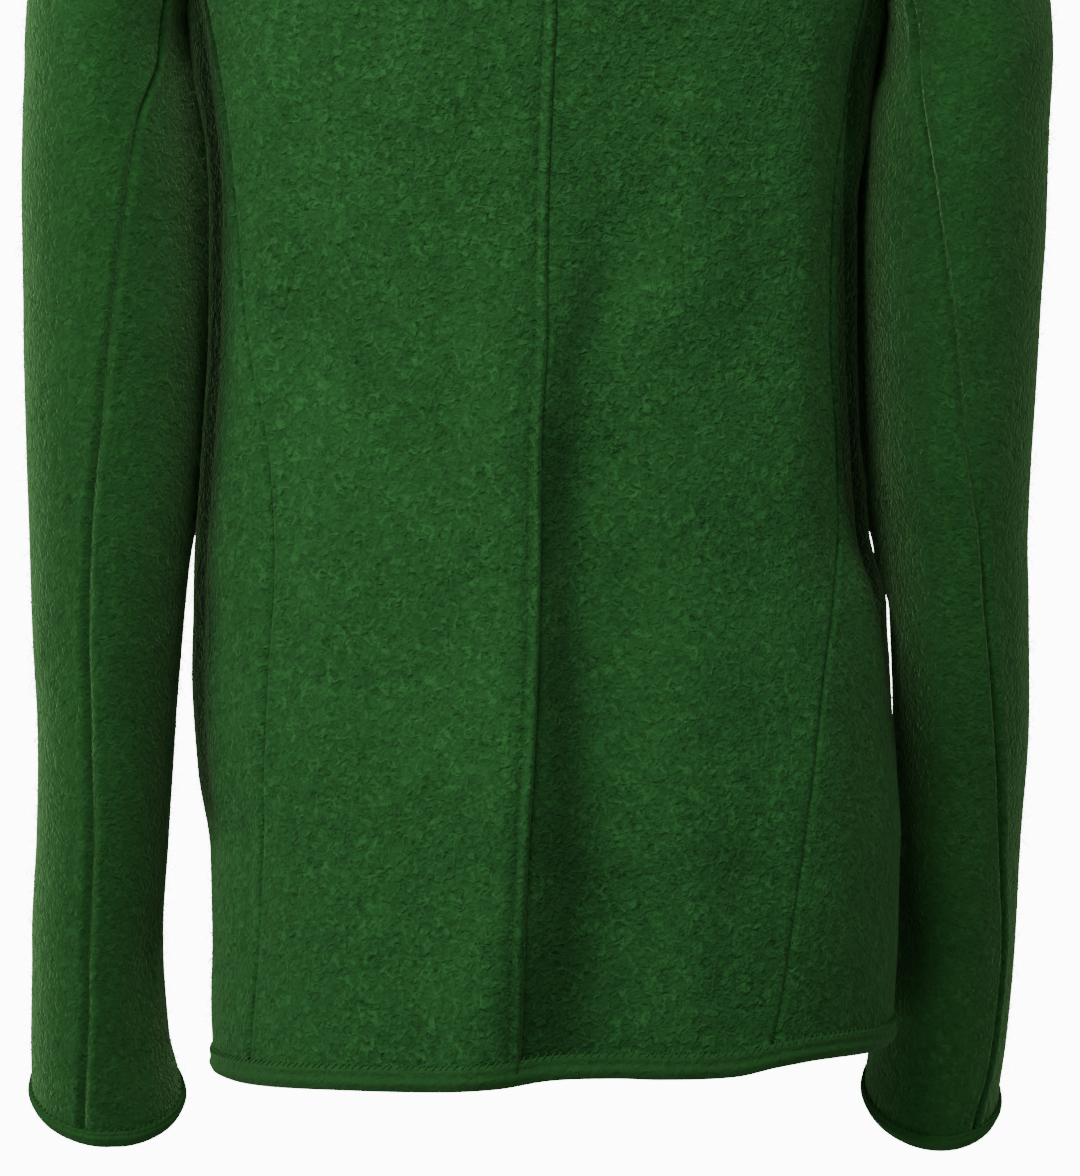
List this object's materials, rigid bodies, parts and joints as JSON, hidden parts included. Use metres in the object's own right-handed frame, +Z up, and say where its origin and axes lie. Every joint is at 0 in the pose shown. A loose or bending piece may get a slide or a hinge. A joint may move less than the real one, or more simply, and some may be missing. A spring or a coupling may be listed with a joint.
{
  "type": "traditional alpine jacket",
  "caption": "Short fitted jacket of green felted wool, filled out as worn, with curved back seams, bent sleeves, a low stand collar, bound edges and metal buttons.",
  "frame": {"origin": "middle of the neck, level with the shoulder seams at the neck", "axes": "+Z up, +Y towards the back, +X towards the wearer's left arm"},
  "size_m": [0.4436, 0.2561, 0.7358],
  "materials": {
    "felted_wool": "matte felted wool with a pebbled, slightly hairy face",
    "bound_edge": "matte wool braid, a little smoother and lighter than the cloth",
    "button_metal": "darkened metal, satin"
  },
  "bodies": {
    "root": {"back_left": "felted_wool", "back_right": "felted_wool", "side_left": "felted_wool", "side_right": "felted_wool", "front_left": "felted_wool", "front_right": "felted_wool", "top_sleeve_left": "felted_wool", "top_sleeve_right": "felted_wool", "under_sleeve_left": "felted_wool", "under_sleeve_right": "felted_wool", "collar": "felted_wool", "hem_binding": "bound_edge", "cuff_binding_left": "bound_edge", "cuff_binding_right": "bound_edge", "button_1": "button_metal", "button_2": "button_metal", "button_3": "button_metal", "button_4": "button_metal", "button_5": "button_metal", "button_6": "button_metal"}
  },
  "joints": []
}
